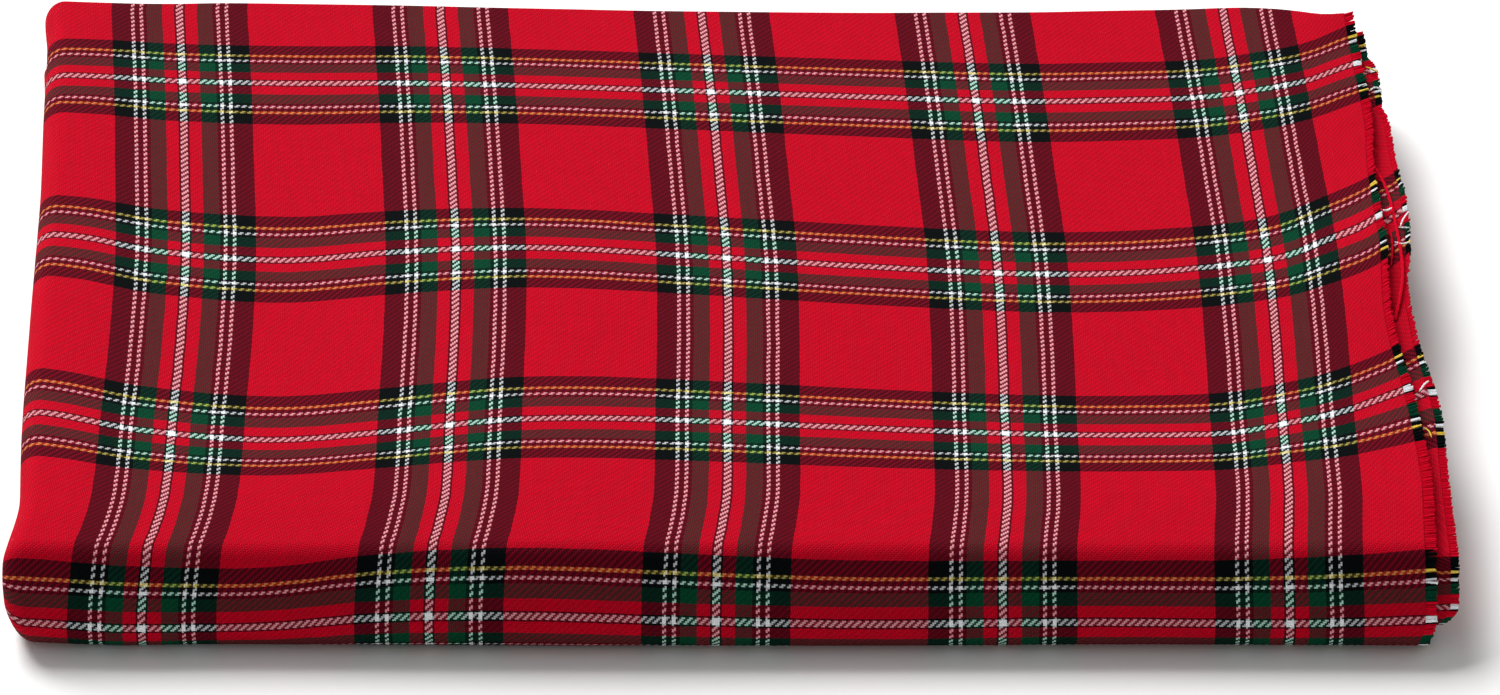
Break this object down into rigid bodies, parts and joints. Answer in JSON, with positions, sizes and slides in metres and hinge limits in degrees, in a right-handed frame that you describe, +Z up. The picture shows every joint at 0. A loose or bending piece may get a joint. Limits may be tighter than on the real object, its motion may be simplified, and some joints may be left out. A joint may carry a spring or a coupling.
{
  "type": "folded checked cloth",
  "caption": "Cut length of checked twill cloth folded flat into a layered pack, with folds at the left and front and raw fringed edges at the right.",
  "frame": {"origin": "middle of the pack's outline, on the surface it rests on", "axes": "+X along the folded width towards the raw edges, +Y towards the cut ends at the back, +Z up through the layers"},
  "size_m": [0.3942, 0.2685, 0.0313],
  "materials": {
    "checked_twill": "matt brushed twill in a red check with green, black, white and yellow stripes"
  },
  "bodies": {
    "root": {"folded_cloth": "checked_twill"}
  },
  "joints": []
}
